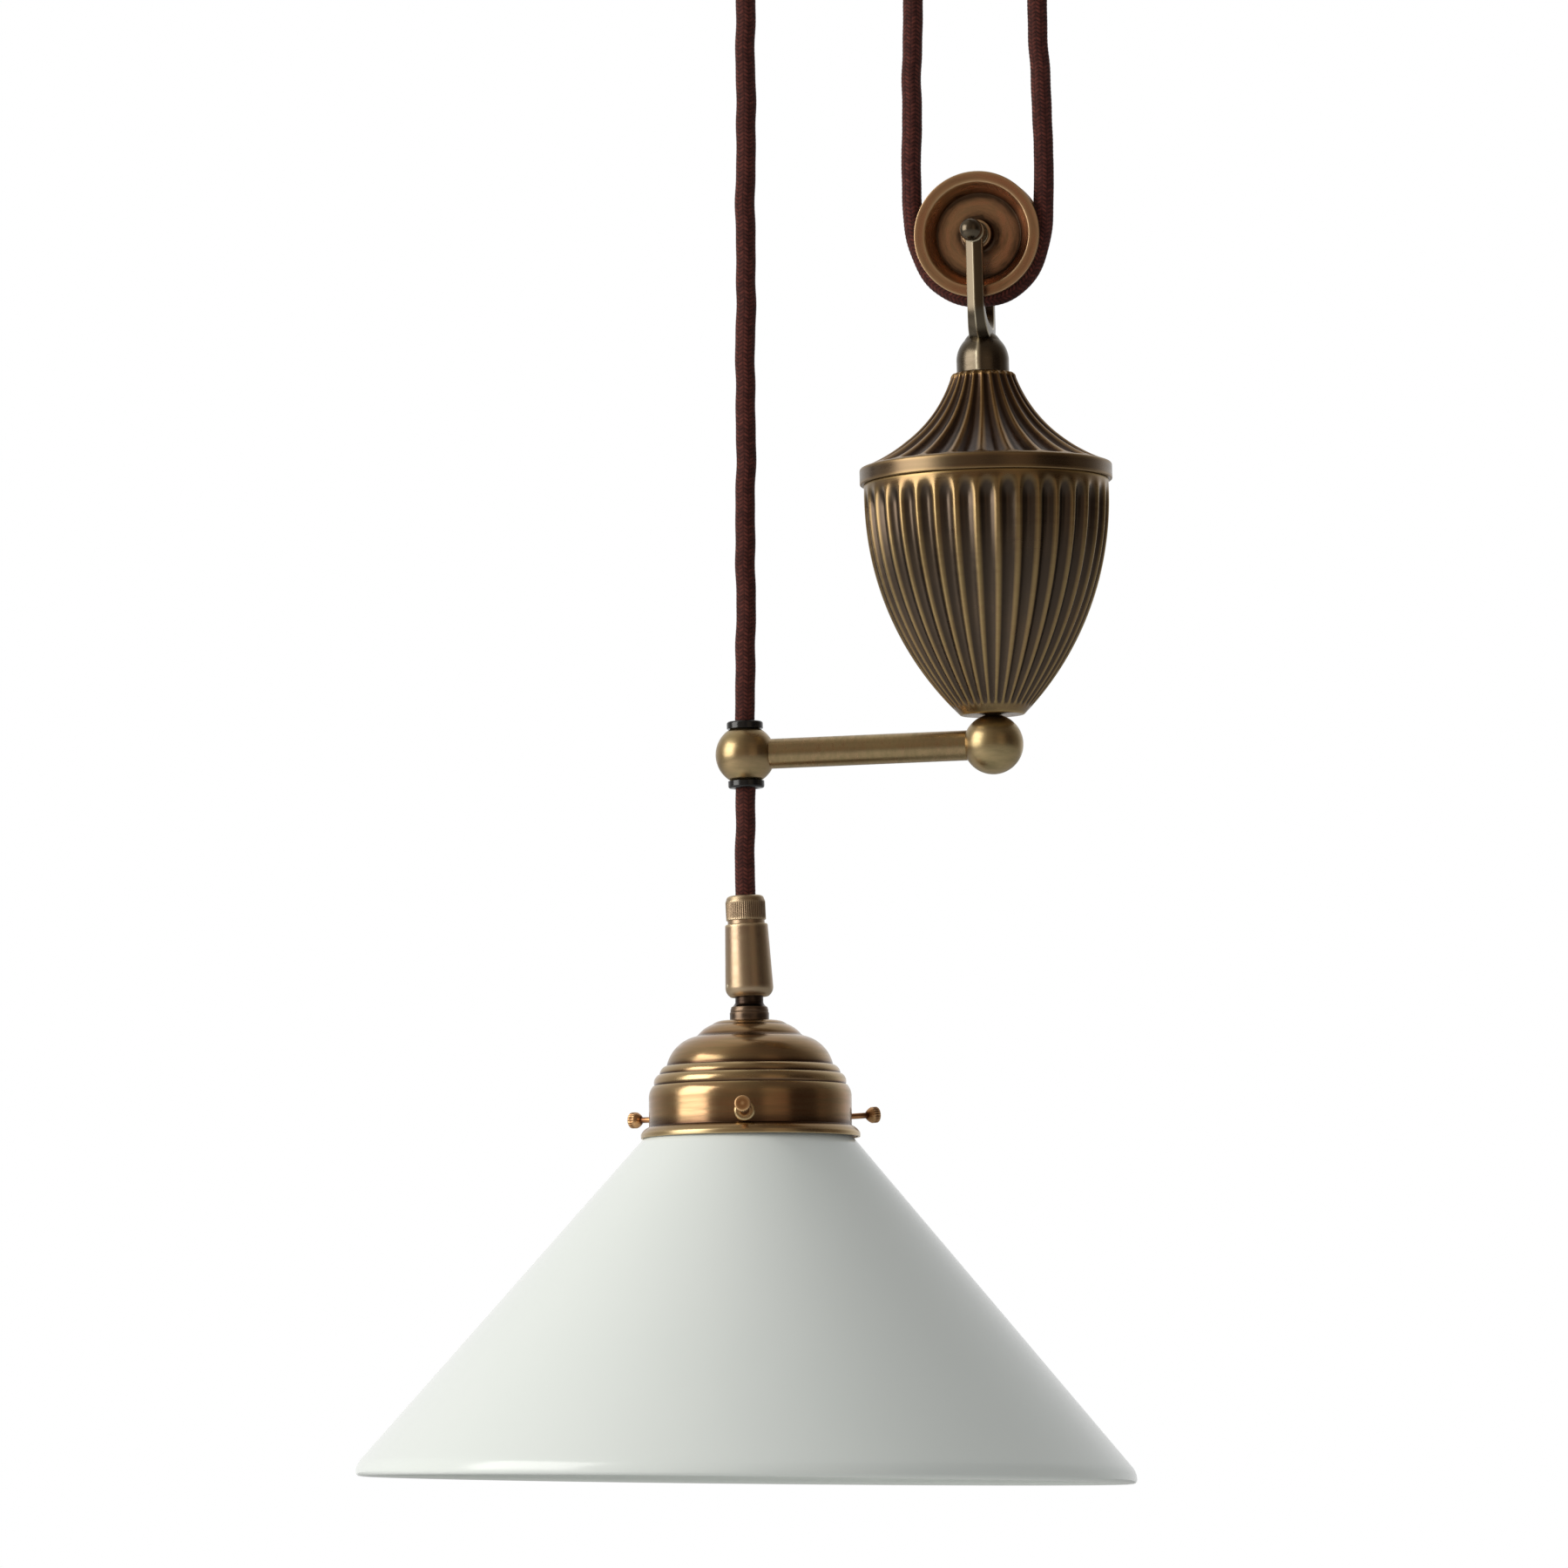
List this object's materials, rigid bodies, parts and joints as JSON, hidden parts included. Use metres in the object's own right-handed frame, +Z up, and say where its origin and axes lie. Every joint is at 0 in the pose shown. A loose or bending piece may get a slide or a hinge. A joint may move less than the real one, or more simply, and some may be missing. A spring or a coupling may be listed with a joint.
{
  "type": "rise and fall pendant",
  "caption": "Rise and fall pendant light: cone glass shade on a cord that runs over pulleys, balanced by a fluted urn counterweight with a guide arm.",
  "frame": {"origin": "centre of the ceiling plate, on the ceiling", "axes": "+Z up, +X from the lamp towards the counterweight, pulley axles along Y"},
  "size_m": [0.3492, 0.3492, 0.884],
  "materials": {
    "aged_brass": "aged, spun, lacquered",
    "cast_brass": "aged, darker in the hollows",
    "screw_brass": "reddish, knurled",
    "plain_brass": "plain turned",
    "steel": "zinc plated",
    "iron": "as cast",
    "braided_cord": "braided textile",
    "opal_glass": "glossy opal white",
    "black_grommet": "glossy",
    "porcelain": "glazed porcelain",
    "block_plastic": "matte",
    "seat_plastic": "matte"
  },
  "bodies": {
    "ceiling_unit": {"ceiling_plate": "steel", "hanger_pillar": "steel", "canopy_pillars": "steel", "canopy": "aged_brass", "canopy_screws": "aged_brass", "terminal_block": "block_plastic", "gland_body": "aged_brass", "gland_lock_nut": "steel", "gland_cap": "aged_brass", "pulley_hanger": "cast_brass", "upper_axle": "steel", "upper_side_washers": "aged_brass", "upper_ball_nuts": "aged_brass", "fixed_strand": "braided_cord", "rising_strand": "braided_cord", "lamp_strand": "braided_cord", "upper_wrap": "braided_cord"},
    "upper_pulley": {"upper_wheel": "cast_brass", "upper_bush": "plain_brass"},
    "counterweight": {"weight_fork": "cast_brass", "lower_axle": "steel", "lower_side_washers": "aged_brass", "lower_ball_nuts": "aged_brass", "urn_cap": "cast_brass", "urn_band": "cast_brass", "urn_vessel": "cast_brass", "ballast": "iron", "rod_nut": "steel", "tie_rod": "steel", "end_ball": "cast_brass", "arm_tube": "cast_brass", "guide_ball": "cast_brass", "guide_grommets": "black_grommet", "lower_wrap": "braided_cord"},
    "lower_pulley": {"lower_wheel": "cast_brass", "lower_bush": "plain_brass"},
    "lamp": {"grip_nut": "aged_brass", "grip_collet": "steel", "barrel_cap": "aged_brass", "joint_barrel": "aged_brass", "barrel_pin": "aged_brass", "disc_springs": "steel"},
    "joint_seat": {"ball_seat": "seat_plastic"},
    "shade": {"ball_stem": "aged_brass", "neck_collar": "aged_brass", "gallery": "aged_brass", "screw_bosses": "aged_brass", "gallery_nut": "steel", "lampholder_cap": "aged_brass", "lampholder_skirt": "aged_brass", "lampholder_core": "porcelain", "screw_shell": "plain_brass", "centre_contact": "plain_brass", "glass_shade": "opal_glass"},
    "front_screw": {"thumb_screw_1": "screw_brass"},
    "right_screw": {"thumb_screw_2": "screw_brass"},
    "left_screw": {"thumb_screw_3": "screw_brass"}
  },
  "joints": [
    {"name": "lamp_slide", "type": "slide", "parent": "ceiling_unit", "child": "lamp", "axis": [0, 0, 1], "range_m": [-0.28, 0.03], "deforming": ["lamp_strand"]},
    {"name": "counterweight_slide", "type": "slide", "parent": "ceiling_unit", "child": "counterweight", "axis": [0, 0, 1], "range_m": [-0.015, 0.14], "deforming": ["fixed_strand", "rising_strand"]},
    {"name": "upper_pulley_spin", "type": "hinge", "parent": "ceiling_unit", "child": "upper_pulley", "pos_m": [-0.0454, 0, -0.1], "axis": [0, 1, 0], "continuous": true},
    {"name": "lower_pulley_spin", "type": "hinge", "parent": "counterweight", "child": "lower_pulley", "pos_m": [0.0225, 0, -0.3244], "axis": [0, 1, 0], "continuous": true},
    {"name": "shade_swivel", "type": "hinge", "parent": "lamp", "child": "joint_seat", "pos_m": [-0.0829, 0, -0.6594], "axis": [-0.0489, 0, 0.9988], "range_deg": [-170, 170]},
    {"name": "shade_tilt", "type": "hinge", "parent": "joint_seat", "child": "shade", "pos_m": [-0.0829, 0, -0.6594], "axis": [0, 1, 0], "range_deg": [-8, 8]},
    {"name": "front_screw_slide", "type": "slide", "parent": "shade", "child": "front_screw", "axis": [0.1366, -0.9818, 0.132], "range_m": [0, 0.003]},
    {"name": "right_screw_slide", "type": "slide", "parent": "shade", "child": "right_screw", "axis": [0.7851, 0.614, 0.0815], "range_m": [0, 0.003]},
    {"name": "left_screw_slide", "type": "slide", "parent": "shade", "child": "left_screw", "axis": [-0.9272, 0.3746, -0.001], "range_m": [0, 0.003]}
  ],
  "couplings": [
    {"joint": "counterweight_slide", "follows": "lamp_slide", "ratio": -0.5},
    {"joint": "upper_pulley_spin", "follows": "lamp_slide", "rad_per_m": 25.51},
    {"joint": "lower_pulley_spin", "follows": "lamp_slide", "rad_per_m": -17.857}
  ]
}
